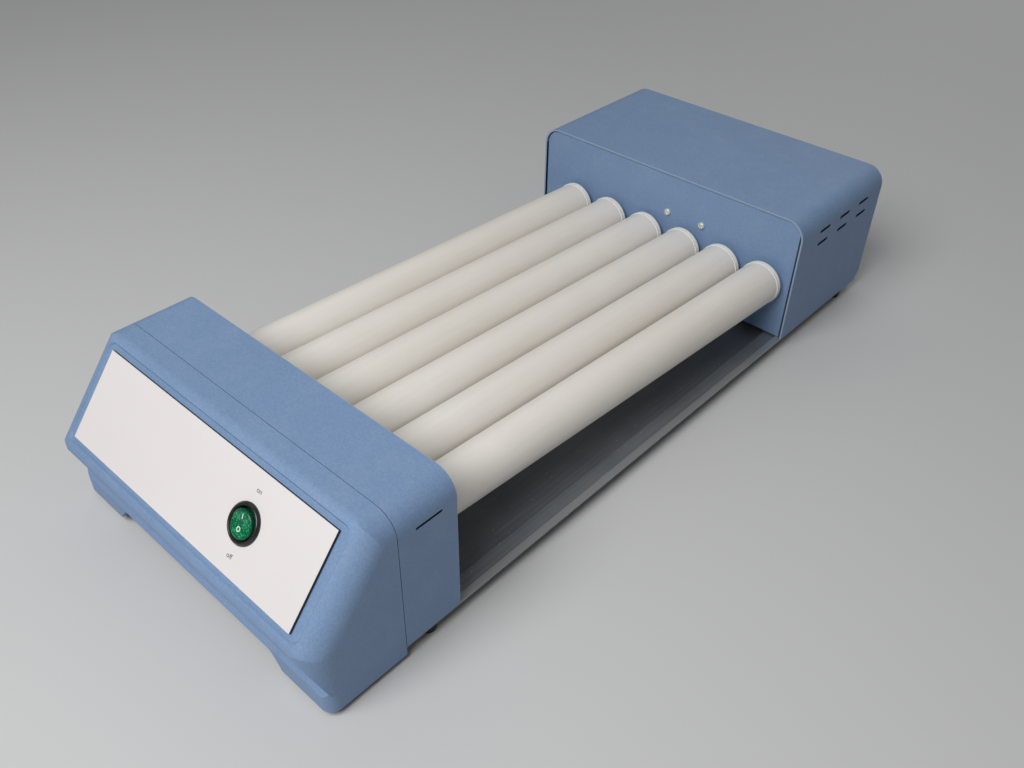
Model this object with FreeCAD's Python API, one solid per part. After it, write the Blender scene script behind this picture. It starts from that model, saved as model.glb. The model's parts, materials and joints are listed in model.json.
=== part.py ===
import FreeCAD, Part
import math
import os

# Benchtop roller mixer. Six rollers lie between two sheet metal housings on a
# low folded tray. The two ends of a roller are held off centre to opposite
# sides, so it turns about a line that crosses its own axis and rocks the tubes
# that it rolls. Millimetres, +Z up, the controls face -Y, and the origin is on
# the bench under the middle of the machine.

os.makedirs("parts", exist_ok=True)
V = FreeCAD.Vector
X_AXIS = V(1, 0, 0)
Y_AXIS = V(0, 1, 0)
Z_AXIS = V(0, 0, 1)
overrun = 5.0                  # how far a cutting solid runs past what it cuts
plane_fit = 0.01               # an edge this near a plane lies in it

# Whole machine
width = 240.0
height = 108.0
bezel_depth = 60.0             # nose of the front moulding to the seam
seam_gap = 0.4                 # between the moulding and the front cover
front_cover_length = 39.6
bed_length = 342.0             # open space between the two covers
rear_cover_length = 122.0

# Clearances
running_fit = 0.05             # shaft in its bush, on the radius
fixed_fit = 0.05               # pin, bush or screw in its hole, on the radius
seat_gap = 0.1                 # cover over the tray lip
panel_gap = 0.5                # end panel inside its cover
hub_gap = 0.3                  # turning face beside a still one

# Tray
tray_sheet = 1.2
tray_floor = 4.5               # top of the floor
tray_bend = 1.0
foot_height = 8.4
shelf_width = 10.5
lip_width = 5.1
lip_rise = 1.0
lip_inset = 0.4                # lip edge inside the cover's side
tray_front_reach = 40.0        # floor ahead of the seam, inside the moulding
tray_back_inset = 2.0
tray_side_gap = 2.7            # tray edge inside the moulding's side walls

# Covers
cover_sheet = 1.2
cover_corner = 14.0
rear_corner_cut = 6.0
front_slot_length = 18.0
front_slot_height = 1.8
front_slot_start = 12.0        # behind the seam
front_slot_level = 92.0
vent_length = 15.0
vent_height = 2.5
vent_pitch = 29.5
vent_columns = 3
vent_start = 26.8              # cover's bed edge to the first slot
vent_levels = (81.5, 92.0)

# End panels, each a shallow tray set into its cover
panel_sheet = 1.5
panel_inset = 1.2              # face behind the cover's edge
panel_depth = 10.0
panel_edge = 1.2               # soft edge round the face
panel_lift = 0.4               # bottom edge above the tray lip

# Rollers
roller_count = 6
roller_pitch = 35.5
roller_radius = 16.0
roller_wall = 2.0
roller_level = 54.0            # height of the turning axes
roller_throw = 8.0             # how far each end is off the turning axis
roller_end_gap = 3.0           # cap face to the cover's bed edge
cap_radius = 16.5
cap_thickness = 4.5
cap_edge = 0.8
spigot_length = 12.0
spigot_fit = 0.1
boss_radius = 6.5
axle_radius = 4.0
axle_grip = 8.0                # stub axle held inside the cap
axle_past_bush = 1.0

# Bushes
bush_radius = 6.0
bush_flange_radius = 7.5
bush_flange = 1.0
bush_length = 4.0              # behind the panel

# Gears
gear_module = 1.0
roller_teeth = 18
idler_teeth = 18
pinion_teeth = 14
pressure_angle = 20.0
tooth_thinning = 0.15          # taken off each tooth for backlash
gear_width = 8.0
gear_gap = 0.5                 # bush end to the gears
axle_past_gear = 1.0
idler_shoulder_radius = 4.0
idler_pin_radius = 2.5
clip_radius = 4.5
clip_thickness = 0.8
pin_end = 0.7                  # pin past its clip

# Motor with its gearbox, hung on the rear end panel
motor_screw_spacing = 31.4
motor_shift = 3.85             # motor shaft beside the turning axis that it drives
driven_roller_number = 4       # counted from -X
gearbox_radius = 18.5
gearbox_length = 22.0
gearbox_offset = 6.0           # output shaft below the gearbox's middle
gearbox_boss_radius = 6.0
gearbox_boss = 1.5
motor_radius = 17.0
motor_length = 40.0
motor_cap_radius = 5.0
motor_cap = 3.0
case_bevel = 1.5
shaft_radius = 3.0
shaft_depth = 7.0              # in the gearbox
shaft_end_gap = 1.0
shaft_past_pinion = 1.0
standoff_across = 7.0          # hexagon, over its flats
standoff_length = 18.3

# Screws
screw_radius = 1.5
screw_head_radius = 2.8
screw_head = 2.0
screw_end_gap = 1.0            # hole past the screw's tip
bezel_screw_reach = 16.0
block_screw_reach = 10.0
screw_nut_end = 2.4            # foot screw above the tray's shelf
motor_screw_grip = 8.0         # in the gearbox

# Front moulding
bezel_wall = 3.0
slope_angle = 50.4
nose_radius = 8.0
nose_level = 49.8              # middle of the nose's round
under_angle = 70.2             # of the face under the nose
top_edge_radius = 8.0
side_edge_radius = 14.0
neck_level = 20.0
plinth_setback = 8.0           # plinth front behind the nose
plinth_shoulder = 16.5
plinth_bottom = 4.5
plinth_corner = 7.0
plinth_shoulder_radius = 2.0
neck_overlap = 1.0             # upper and lower body share this much
arch_level = 15.0
arch_half_top = 72.0
arch_half_bottom = 80.0
arch_corner = 5.0
tongue = 1.5                   # thickness of the tongue inside the front cover
tongue_reach = 3.0
tongue_bottom = 24.0
boss_outer = 4.5
boss_spread = 90.0
boss_setback = 30.0            # ahead of the seam
boss_top = 30.0
rib_thickness = 2.5
rib_bottom = 14.0
rib_top = 40.0

# Label plate in its recess on the slope
label_width = 204.0
label_height = 56.4
label_thickness = 2.0
label_proud = 1.0              # front face above the moulding's slope
label_top_level = 103.0        # height of the label's top edge
recess_side_margin = 5.8       # floor of the recess beside the label
recess_end_margin = 3.2        # and above and below it
recess_corner = 5.0
recess_edge = 1.0              # width of the soft step round the floor

# Power switch
switch_x = 47.0
switch_down = 28.4             # down the slope from the label's top edge
switch_ring_radius = 11.5
switch_ring = 2.0
switch_bevel = 0.8
switch_barrel_radius = 10.0
switch_barrel = 16.0
switch_hole_fit = 0.1
switch_opening_radius = 8.75
switch_pocket = 6.5
rocker_gap = 0.55
rocker_travel = 12.0
rocker_pivot = 1.5             # depth of the pivot below the label's face
rocker_rise = 3.4              # rim above the label's face, when level
rocker_dip = 1.0               # middle below the rim
rocker_skirt = 3.6             # below the pivot
rocker_edge = 1.0
pivot_pin_radius = 1.0
pivot_pin_reach = 0.5
terminal_width = 4.8
terminal_thickness = 0.8
terminal_length = 8.0
terminal_spread = 5.0

# Rear panel with the mains inlet
back_panel_inset = 2.0
back_flange = 8.0
inlet_x = 70.0
inlet_level = 45.0
inlet_flange_width = 50.0
inlet_flange_height = 22.5
inlet_flange_corner = 4.0
inlet_body_width = 27.0
inlet_body_height = 20.0
inlet_body_depth = 18.0
inlet_body_corner = 1.0
inlet_mouth_width = 24.0
inlet_mouth_height = 16.5
inlet_mouth_cut = 4.0
inlet_mouth_depth = 15.0
inlet_screw_spacing = 40.0
inlet_screw_reach = 5.0
inlet_hole_gap = 0.3
pin_width = 2.0
pin_height = 4.0
pin_length = 12.0
pin_spread = 7.0
pin_drop = 1.5

# Feet and the blocks that hold the covers
foot_radius = 6.2
foot_taper = 1.0
foot_gap = 0.3
foot_recess_radius = 3.6
foot_recess = 3.4
front_foot_back = 22.0         # behind the seam
rear_foot_inset = 22.0         # ahead of the back
block_length = 10.0
block_top = 22.0
block_screw_inset = 4.3        # from the tray wall to the screw
block_inner = 1.0              # block edge beside the tray wall
front_block_start = 5.0
rear_block_inset = 44.0

# Places that follow from the sizes above
half_width = width / 2
length = bezel_depth + seam_gap + front_cover_length + bed_length + rear_cover_length
front = -length / 2
back = length / 2
seam = front + bezel_depth
front_cover_start = seam + seam_gap
front_cover_end = front_cover_start + front_cover_length
rear_cover_start = front_cover_end + bed_length
front_panel_face = front_cover_end - panel_inset
rear_panel_face = rear_cover_start + panel_inset
shelf_top = foot_height + tray_sheet
lip_top = shelf_top + lip_rise
lip_end = half_width - lip_inset
lip_start = lip_end - lip_width
tray_wall = lip_start - shelf_width
cover_bottom = lip_top + seat_gap
roller_xs = [(index - (roller_count - 1) / 2) * roller_pitch for index in range(roller_count)]
front_cap_face = front_cover_end + roller_end_gap
rear_cap_face = rear_cover_start - roller_end_gap
roller_axis = V(2 * roller_throw, rear_cap_face - front_cap_face, 0).normalize()
gear_start = rear_panel_face + panel_sheet + bush_length + gear_gap
gear_end = gear_start + gear_width


# Small shared shapes

def in_plane(plane, u, v, level):
    """The point (u, v) of a plane named by its two axes, at a level on the third."""
    if plane == "xz":
        return V(u, level, v)
    if plane == "yz":
        return V(level, u, v)
    return V(u, v, level)


def outline(corners, plane, level):
    """Closed wire through corners (u, v), rounded at those that give a radius too."""
    bends = []
    for index, corner in enumerate(corners):
        here = V(corner[0], corner[1], 0)
        radius = corner[2] if len(corner) > 2 else 0
        if radius <= 0:
            bends.append((here, None, here))
            continue
        before = corners[index - 1]
        after = corners[(index + 1) % len(corners)]
        to_before = V(before[0], before[1], 0).sub(here).normalize()
        to_after = V(after[0], after[1], 0).sub(here).normalize()
        half_angle = to_before.getAngle(to_after) / 2
        reach = radius / math.tan(half_angle)
        inward = (to_before + to_after).normalize()
        middle = here + inward * (radius / math.sin(half_angle) - radius)
        bends.append((here + to_before * reach, middle, here + to_after * reach))
    edges = []
    for index, (start, middle, stop) in enumerate(bends):
        first = in_plane(plane, start.x, start.y, level)
        last = in_plane(plane, stop.x, stop.y, level)
        if middle is not None:
            through = in_plane(plane, middle.x, middle.y, level)
            edges.append(Part.Arc(first, through, last).toShape())
        ahead = bends[(index + 1) % len(bends)][0]
        joint = in_plane(plane, ahead.x, ahead.y, level)
        if joint.distanceToPoint(last) > 1e-6:
            edges.append(Part.LineSegment(last, joint).toShape())
    return Part.Wire(edges)


def slab(corners, plane, low, high):
    """Solid with the given outline, from one level to another."""
    face = Part.Face(outline(corners, plane, low))
    return face.extrude(in_plane(plane, 0, 0, high - low))


def block(low, high):
    """Box between two corners."""
    return Part.makeBox(high[0] - low[0], high[1] - low[1], high[2] - low[2], V(*low))


def rod(radius, start, direction, reach):
    return Part.makeCylinder(radius, reach, start, direction)


def ring(outer, inner, start, direction, reach):
    hole = rod(inner, start - direction * overrun, direction, reach + 2 * overrun)
    return rod(outer, start, direction, reach).cut(hole)


def fillet_where(shape, radius, wanted):
    """Round the edges whose middle point passes the test."""
    edges = [edge for edge in shape.Edges if wanted(edge.CenterOfMass)]
    return shape.makeFillet(radius, edges)


def bevelled(radius, start, direction, reach, bevel):
    """Rod with its rim cut back at the start end."""
    tip = Part.makeCone(radius - bevel, radius, bevel, start, direction)
    return tip.fuse(rod(radius, start + direction * bevel, direction, reach - bevel))


def screw(seat, direction, reach):
    """Screw with its head outside the seat and its shank along direction."""
    head = rod(screw_head_radius, seat - direction * screw_head, direction, screw_head)
    return head.fuse(rod(screw_radius, seat, direction, reach))


def save(name, shape):
    solids = [solid.removeSplitter() for solid in shape.Solids]
    Part.makeCompound(solids).exportStep("parts/" + name + ".step")


def save_group(name, shapes):
    save(name, Part.makeCompound([solid for shape in shapes for solid in shape.Solids]))


# Tray

def tray_half():
    """Right half of the folded section, from the middle of the floor to the lip and back."""
    return [
        (tray_wall, tray_floor, tray_bend),
        (tray_wall, shelf_top, tray_bend),
        (lip_start, shelf_top),
        (lip_start, lip_top, lip_rise / 2),
        (lip_end, lip_top),
        (lip_end, lip_top - tray_sheet),
        (lip_start + tray_sheet, lip_top - tray_sheet),
        (lip_start + tray_sheet, shelf_top - tray_sheet),
        (tray_wall + tray_sheet, shelf_top - tray_sheet),
        (tray_wall + tray_sheet, tray_floor - tray_sheet),
    ]


def screw_places():
    """Seat point of each screw that comes up through the tray, with its use."""
    foot_x = tray_wall + tray_sheet + foot_gap + foot_radius
    block_x = tray_wall + tray_sheet + block_screw_inset
    foot_ys = (seam + front_foot_back, back - rear_foot_inset)
    block_ys = (seam + front_block_start + block_length / 2, back - rear_block_inset + block_length / 2)
    places = {"bezel": [], "foot": [], "block": []}
    for side in (-1, 1):
        places["bezel"].append(V(side * boss_spread, seam - boss_setback, tray_floor - tray_sheet))
        places["foot"] += [V(side * foot_x, y, foot_height) for y in foot_ys]
        places["block"] += [V(side * block_x, y, foot_height) for y in block_ys]
    return places


def base_pan():
    right = tray_half()
    left = [(-corner[0],) + corner[1:] for corner in reversed(right)]
    pan = slab(right + left, "xz", seam - tray_front_reach, back - tray_back_inset)
    inner = half_width - bezel_wall - tray_side_gap
    for side in (-1, 1):
        low = (min(side * inner, side * width), seam - tray_front_reach - overrun, 0)
        high = (max(side * inner, side * width), front_cover_start, height)
        pan = pan.cut(block(low, high))
    for seats in screw_places().values():
        for seat in seats:
            pan = pan.cut(rod(screw_radius + fixed_fit, seat - Z_AXIS * overrun, Z_AXIS, 2 * overrun))
    return pan


# Covers

def cover_section(inset, bottom):
    side = half_width - inset
    top = height - inset
    corner = cover_corner - inset
    return [(-side, bottom), (-side, top, corner), (side, top, corner), (side, bottom)]


def cover(start, end):
    outer = slab(cover_section(0, cover_bottom), "xz", start, end)
    inside = cover_section(cover_sheet, cover_bottom - overrun)
    return outer.cut(slab(inside, "xz", start - overrun, end + overrun))


def side_slot(start, reach, level, tall):
    """Slot through both side walls, with round ends."""
    corners = [
        (start, level - tall / 2, tall / 2),
        (start + reach, level - tall / 2, tall / 2),
        (start + reach, level + tall / 2, tall / 2),
        (start, level + tall / 2, tall / 2),
    ]
    return slab(corners, "yz", -half_width - overrun, half_width + overrun)


def front_cover():
    slot = side_slot(seam + front_slot_start, front_slot_length, front_slot_level, front_slot_height)
    return cover(front_cover_start, front_cover_end).cut(slot)


def rear_cover():
    shell = cover(rear_cover_start, back)
    for column in range(vent_columns):
        start = rear_cover_start + vent_start + column * vent_pitch
        for level in vent_levels:
            shell = shell.cut(side_slot(start, vent_length, level, vent_height))
    corner = [
        (back + overrun, cover_bottom - overrun),
        (back + overrun, cover_bottom + rear_corner_cut + overrun),
        (back - rear_corner_cut - overrun, cover_bottom - overrun),
    ]
    return shell.cut(slab(corner, "yz", -half_width - overrun, half_width + overrun))


# End panels

def panel_section(inset, bottom):
    return cover_section(cover_sheet + panel_gap + inset, bottom)


def motor_screw_points():
    """Where the two motor screws pass through the rear panel's face."""
    shaft = motor_shaft_point()
    level = shaft.z + gearbox_offset
    return [V(shaft.x + side * motor_screw_spacing / 2, 0, level) for side in (-1, 1)]


def motor_shaft_point():
    """Place of the motor shaft across the machine, in mesh with the driven roller's gear."""
    reach = gear_module * (roller_teeth + pinion_teeth) / 2
    rise = math.sqrt(reach ** 2 - motor_shift ** 2)
    return V(roller_xs[driven_roller_number - 1] + motor_shift, 0, roller_level + rise)


def end_panel(face, away):
    """Tray shaped panel: its face looks at the bed and its flanges run away from it."""
    bottom = lip_top + panel_lift
    deep = face + away * panel_depth
    body = slab(panel_section(0, bottom), "xz", face, deep)

    def on_rim(point):
        return abs(point.y - face) < plane_fit and point.z > bottom + plane_fit

    body = fillet_where(body, panel_edge, on_rim)
    inside = panel_section(panel_sheet, bottom - overrun)
    body = body.cut(slab(inside, "xz", face + away * panel_sheet, deep + away * overrun))
    start = face - away * overrun
    for x in roller_xs:
        hole = rod(bush_radius + fixed_fit, V(x, start, roller_level), Y_AXIS * away, panel_depth + overrun)
        body = body.cut(hole)
    return body


def rear_end_panel():
    body = end_panel(rear_panel_face, 1)
    for point in motor_screw_points():
        start = V(point.x, rear_panel_face - overrun, point.z)
        body = body.cut(rod(screw_radius + fixed_fit, start, Y_AXIS, 2 * overrun))
    return body


def bushes(face, away):
    """Six flanged bushes, with their flanges on the panel's bed side."""
    made = []
    for x in roller_xs:
        start = V(x, face - away * bush_flange, roller_level)
        flange = rod(bush_flange_radius, start, Y_AXIS * away, bush_flange)
        body = rod(bush_radius, start, Y_AXIS * away, bush_flange + panel_sheet + bush_length)
        bore_start = start - Y_AXIS * away * overrun
        bore = rod(axle_radius + running_fit, bore_start, Y_AXIS * away, panel_depth + 2 * overrun)
        made.append(flange.fuse(body).cut(bore))
    return made


# Rollers

def roller_tube(x):
    """Plain tube along the roller's own axis, between its two caps."""
    start = V(x - roller_throw, front_cap_face, roller_level) + roller_axis * cap_thickness
    stop = V(x + roller_throw, rear_cap_face, roller_level) - roller_axis * cap_thickness
    return ring(roller_radius, roller_radius - roller_wall, start, roller_axis, start.distanceToPoint(stop))


def end_cap(x, side, face, panel_face, axle_end):
    """Cap with an off-centre boss and stub axle. side is -1 at the front and 1 at the rear."""
    inward = roller_axis * -side
    centre = V(x + side * roller_throw, face, roller_level)
    disc = bevelled(cap_radius, centre, inward, cap_thickness, cap_edge)
    spigot_radius = roller_radius - roller_wall - spigot_fit
    spigot_start = centre + inward * (cap_thickness / 2)
    spigot = rod(spigot_radius, spigot_start, inward, cap_thickness / 2 + spigot_length)
    outward = Y_AXIS * side
    root = V(x, face - side * cap_thickness / 2, roller_level)
    boss_end = panel_face - side * (bush_flange + hub_gap)
    boss = rod(boss_radius, root, outward, abs(boss_end - root.y))
    grip = V(x, face - side * axle_grip, roller_level)
    axle = rod(axle_radius, grip, outward, abs(axle_end - grip.y))
    return disc.fuse([spigot, boss, axle])


def front_cap(x):
    bush_end = front_panel_face - panel_sheet - bush_length
    return end_cap(x, -1, front_cap_face, front_panel_face, bush_end - axle_past_bush)


def rear_cap(x):
    return end_cap(x, 1, rear_cap_face, rear_panel_face, gear_end + axle_past_gear)


# Gear train

def flank_angle(radius, teeth):
    """Half the tooth's angle at a radius, on an involute flank."""
    pitch_radius = gear_module * teeth / 2
    pressure = math.radians(pressure_angle)
    base = pitch_radius * math.cos(pressure)
    half_at_pitch = (math.pi * gear_module / 2 - tooth_thinning) / (2 * pitch_radius)
    here = math.acos(min(1, base / max(radius, base)))
    return half_at_pitch + (math.tan(pressure) - pressure) - (math.tan(here) - here)


def toothed_disc(teeth, centre, turn, start, reach):
    """Spur gear blank with its teeth, in the plane across the machine."""
    pitch_radius = gear_module * teeth / 2
    root = pitch_radius - 1.25 * gear_module
    tip = pitch_radius + gear_module

    def point(radius, angle):
        return V(centre.x + radius * math.cos(angle), start, centre.z + radius * math.sin(angle))

    points = []
    root_half = flank_angle(root, teeth)
    pitch_half = flank_angle(pitch_radius, teeth)
    tip_half = flank_angle(tip, teeth)
    for tooth in range(teeth):
        middle = turn + 2 * math.pi * tooth / teeth
        points += [
            point(root, middle - root_half),
            point(pitch_radius, middle - pitch_half),
            point(tip, middle - tip_half),
            point(tip, middle + tip_half),
            point(pitch_radius, middle + pitch_half),
            point(root, middle + root_half),
        ]
    wire = Part.makePolygon(points + points[:1])
    return Part.Face(wire).extrude(Y_AXIS * reach)


def gear(teeth, centre, turn, bore):
    """Gear in the plane of the train, with its bore."""
    body = toothed_disc(teeth, centre, turn, gear_start, gear_width)
    start = V(centre.x, gear_start - overrun, centre.z)
    return body.cut(rod(bore, start, Y_AXIS, gear_width + 2 * overrun))


def meshed_turn(turn, teeth, other_teeth, angle):
    """Turn of a gear in mesh with one before it, which it meets in the direction angle."""
    phase = teeth * (angle - turn) / (2 * math.pi)
    return angle + math.pi - 2 * math.pi / other_teeth * (0.5 - phase)


def gear_train():
    """Centre and turn of every gear: rollers, the idlers between them, and the pinion."""
    reach = gear_module * (roller_teeth + idler_teeth) / 2
    drop = math.sqrt(reach ** 2 - (roller_pitch / 2) ** 2)
    down = math.atan2(-drop, roller_pitch / 2)
    rollers = [(V(roller_xs[0], 0, roller_level), 0.0)]
    idlers = []
    for x in roller_xs[1:]:
        turn = meshed_turn(rollers[-1][1], roller_teeth, idler_teeth, down)
        idlers.append((V(x - roller_pitch / 2, 0, roller_level - drop), turn))
        turn = meshed_turn(turn, idler_teeth, roller_teeth, -down)
        rollers.append((V(x, 0, roller_level), turn))
    shaft = motor_shaft_point()
    driven, driven_turn = rollers[driven_roller_number - 1]
    angle = math.atan2(shaft.z - driven.z, shaft.x - driven.x)
    pinion = (shaft, meshed_turn(driven_turn, roller_teeth, pinion_teeth, angle))
    return rollers, idlers, pinion


def idler_pin(centre):
    """Shouldered pin on the back of the rear panel."""
    seat = rear_panel_face + panel_sheet
    shoulder = gear_start - hub_gap - seat
    reach = gear_end + hub_gap + clip_thickness + pin_end - seat
    start = V(centre.x, seat, centre.z)
    pin = rod(idler_pin_radius, start, Y_AXIS, reach)
    return rod(idler_shoulder_radius, start, Y_AXIS, shoulder).fuse(pin)


def idler_clip(centre):
    start = V(centre.x, gear_end + hub_gap, centre.z)
    return ring(clip_radius, idler_pin_radius + fixed_fit, start, Y_AXIS, clip_thickness)


# Motor

def standoff(start):
    """Hexagonal pillar with a hole for its screw."""
    corner = standoff_across / math.sqrt(3)
    turns = [math.radians(60 * side) for side in range(6)]
    section = [(start.x + corner * math.cos(turn), start.z + corner * math.sin(turn)) for turn in turns]
    pillar = slab(section, "xz", start.y, start.y + standoff_length)
    hole = rod(screw_radius + fixed_fit, start - Y_AXIS * overrun, Y_AXIS, standoff_length + 2 * overrun)
    return pillar.cut(hole)


def motor_pieces():
    """Shaft, gearbox, motor, standoffs and screws, from the panel rearwards."""
    shaft_at = motor_shaft_point()
    panel_back = rear_panel_face + panel_sheet
    box_start = panel_back + standoff_length
    motor_start = box_start + gearbox_length
    middle = V(shaft_at.x, box_start, shaft_at.z + gearbox_offset)
    shaft_start = V(shaft_at.x, gear_start - shaft_past_pinion, shaft_at.z)
    shaft = rod(shaft_radius, shaft_start, Y_AXIS, box_start + shaft_depth - shaft_start.y)
    box = bevelled(gearbox_radius, middle, Y_AXIS, gearbox_length, case_bevel)
    boss_at = V(shaft_at.x, box_start - gearbox_boss, shaft_at.z)
    box = box.fuse(rod(gearbox_boss_radius, boss_at, Y_AXIS, gearbox_boss))
    bore_end = box_start + shaft_depth + shaft_end_gap
    box = box.cut(rod(shaft_radius + running_fit, shaft_start, Y_AXIS, bore_end - shaft_start.y))
    standoffs = []
    screws = []
    for point in motor_screw_points():
        start = V(point.x, panel_back, point.z)
        standoffs.append(standoff(start))
        seat = V(point.x, rear_panel_face, point.z)
        reach = panel_sheet + standoff_length + motor_screw_grip
        screws.append(screw(seat, Y_AXIS, reach))
        box = box.cut(rod(screw_radius + fixed_fit, seat, Y_AXIS, reach + screw_end_gap))
    motor_at = V(middle.x, motor_start, middle.z)
    motor_end = motor_at + Y_AXIS * motor_length
    can = bevelled(motor_radius, motor_end, Y_AXIS * -1, motor_length, case_bevel)
    can = can.fuse(rod(motor_cap_radius, motor_at, Y_AXIS, motor_length + motor_cap))
    return shaft, box, can, standoffs, screws


# Front moulding

def bezel_points(inset):
    """Top corner, nose corner and neck of the side outline, moved inwards by inset."""
    radius = nose_radius - inset
    slope = math.radians(slope_angle)
    under = math.radians(under_angle)
    centre_y = front + nose_radius
    slope_normal = (-math.sin(slope), math.cos(slope))
    under_normal = (-math.sin(under), -math.cos(under))
    share = radius / (1 + slope_normal[0] * under_normal[0] + slope_normal[1] * under_normal[1])
    nose_y = centre_y + share * (slope_normal[0] + under_normal[0])
    nose_z = nose_level + share * (slope_normal[1] + under_normal[1])
    top = height - inset
    top_y = nose_y + (top - nose_z) / math.tan(slope)
    neck_y = nose_y + (nose_z - neck_level) / math.tan(under)
    return (top_y, top), (nose_y, nose_z), (neck_y, neck_level)


def on_slope(shape):
    """Lay a shape on the slope: its Y runs up the slope and its Z=0 is the label's face."""
    shape = shape.copy()
    shape.rotate(V(0, 0, 0), X_AXIS, slope_angle)
    shape.translate(slope_point(0, 0, 0))
    return shape


def slope_point(x, down, proud):
    """Point on the slope: across, down from the label's top edge, and above its face."""
    slope = math.radians(slope_angle)
    top = bezel_points(0)[0]
    face_level = label_top_level - label_proud * math.cos(slope)
    face_y = top[0] - (top[1] - face_level) / math.tan(slope)
    y = face_y - label_proud * math.sin(slope) - down * math.cos(slope) - proud * math.sin(slope)
    z = label_top_level - down * math.sin(slope) + proud * math.cos(slope)
    return V(x, y, z)


def bezel_upper(inset, back_end):
    """Body above the neck: flat top, sloping face and round nose, with soft side edges."""
    top, nose, neck = bezel_points(inset)
    side = half_width - inset
    round_edge = side_edge_radius - inset
    corners = [
        (back_end, top[1]),
        top + (top_edge_radius - inset,),
        nose + (nose_radius - inset,),
        neck,
        (back_end, neck[1]),
    ]
    body = slab(corners, "yz", -side, side)
    across = [(-side, 0), (-side, top[1], round_edge), (side, top[1], round_edge), (side, 0)]
    body = body.common(slab(across, "xz", front - overrun, back_end))
    face = -label_proud - inset
    deep = face - height
    sloped = [(-side, deep), (-side, face, round_edge), (side, face, round_edge), (side, deep)]
    body = body.common(on_slope(slab(sloped, "xz", -height, height)))
    edge = front + inset
    plan = [(-side, back_end), (-side, edge, round_edge), (side, edge, round_edge), (side, back_end)]
    return body.common(slab(plan, "xy", 0, height))


def bezel_plinth(inset, back_end, low):
    """Body below the neck, a little behind the nose."""
    neck = bezel_points(inset)[2]
    side = half_width - inset
    face = front + plinth_setback + inset
    corners = [
        (back_end, low),
        (face, low),
        (face, plinth_shoulder, plinth_shoulder_radius),
        neck,
        (neck[0], neck[1] + neck_overlap),
        (back_end, neck[1] + neck_overlap),
    ]
    body = slab(corners, "yz", -side, side)
    round_edge = plinth_corner - inset
    plan = [(-side, back_end), (-side, face, round_edge), (side, face, round_edge), (side, back_end)]
    return body.common(slab(plan, "xy", low, height))


def bezel_tongue():
    """Thin lip that runs round inside the front cover's edge."""
    gap = cover_sheet + panel_gap
    start = seam - bezel_wall
    end = seam + tongue_reach
    outer = slab(cover_section(gap, tongue_bottom), "xz", start, end)
    inside = cover_section(gap + tongue, tongue_bottom - overrun)
    return outer.cut(slab(inside, "xz", start - overrun, end + overrun))


def bezel_posts(envelope):
    """Two screw posts on the tray floor, each with a rib to the front wall."""
    posts = []
    for side in (-1, 1):
        x = side * boss_spread
        y = seam - boss_setback
        post = rod(boss_outer, V(x, y, tray_floor), Z_AXIS, boss_top - tray_floor)
        rib = block((x - rib_thickness / 2, front, rib_bottom), (x + rib_thickness / 2, y, rib_top))
        post = post.fuse(rib.common(envelope))
        pilot_end = tray_floor - tray_sheet + bezel_screw_reach + screw_end_gap
        pilot = rod(screw_radius + fixed_fit, V(x, y, 0), Z_AXIS, pilot_end)
        posts.append(post.cut(pilot))
    return posts


def label_recess():
    """Shallow recess with a sloping wall, on whose floor the label lies."""
    wires = []
    for level, spread in ((-label_thickness, 0), (recess_edge - label_thickness, recess_edge)):
        half = label_width / 2 + recess_side_margin + spread
        top = recess_end_margin + spread
        bottom = -label_height - recess_end_margin - spread
        corner = recess_corner + spread
        corners = [(-half, top, corner), (half, top, corner), (half, bottom, corner), (-half, bottom, corner)]
        wires.append(outline(corners, "xy", level))
    step = Part.makeLoft(wires, True, True)
    above = Part.Face(wires[1]).extrude(Z_AXIS * overrun)
    return on_slope(step.fuse(above))


def front_bezel():
    """Moulded shell, open behind and below, with a recess for the label and an arch in its foot."""
    envelope = bezel_upper(0, seam).fuse(bezel_plinth(0, seam, plinth_bottom))
    hollow = bezel_upper(bezel_wall, seam + overrun)
    hollow = hollow.fuse(bezel_plinth(bezel_wall, seam + overrun, plinth_bottom - overrun))
    shell = envelope.cut(hollow)
    shell = shell.cut(label_recess())
    shell = shell.cut(on_slope(switch_hole()))
    arch = [
        (-arch_half_bottom, plinth_bottom - overrun),
        (-arch_half_bottom, plinth_bottom),
        (-arch_half_top, arch_level, arch_corner),
        (arch_half_top, arch_level, arch_corner),
        (arch_half_bottom, plinth_bottom),
        (arch_half_bottom, plinth_bottom - overrun),
    ]
    shell = shell.cut(slab(arch, "xz", front, front + plinth_setback + bezel_wall + overrun))
    return shell.fuse([bezel_tongue()] + bezel_posts(envelope))


# Label plate and power switch

def switch_hole():
    """Hole that the switch's barrel goes through."""
    start = V(switch_x, -switch_down, -switch_barrel)
    return rod(switch_barrel_radius + switch_hole_fit, start, Z_AXIS, switch_barrel + overrun)


def label_panel():
    plate = block((-label_width / 2, -label_height, -label_thickness), (label_width / 2, 0, 0))
    return on_slope(plate.cut(switch_hole()))


def switch_body():
    """Flange ring and barrel, with a round pocket for the rocker."""
    middle = V(switch_x, -switch_down, 0)
    top = middle + Z_AXIS * switch_ring
    flange = bevelled(switch_ring_radius, top, Z_AXIS * -1, switch_ring, switch_bevel)
    body = flange.fuse(rod(switch_barrel_radius, middle - Z_AXIS * switch_barrel, Z_AXIS, switch_barrel))
    pocket = rod(switch_opening_radius, middle - Z_AXIS * switch_pocket, Z_AXIS, height)
    body = body.cut(pocket)
    reach = switch_opening_radius + 2 * pivot_pin_reach
    pivot = middle - V(reach, 0, rocker_pivot)
    return on_slope(body.cut(rod(pivot_pin_radius + running_fit, pivot, X_AXIS, 2 * reach)))


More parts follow.
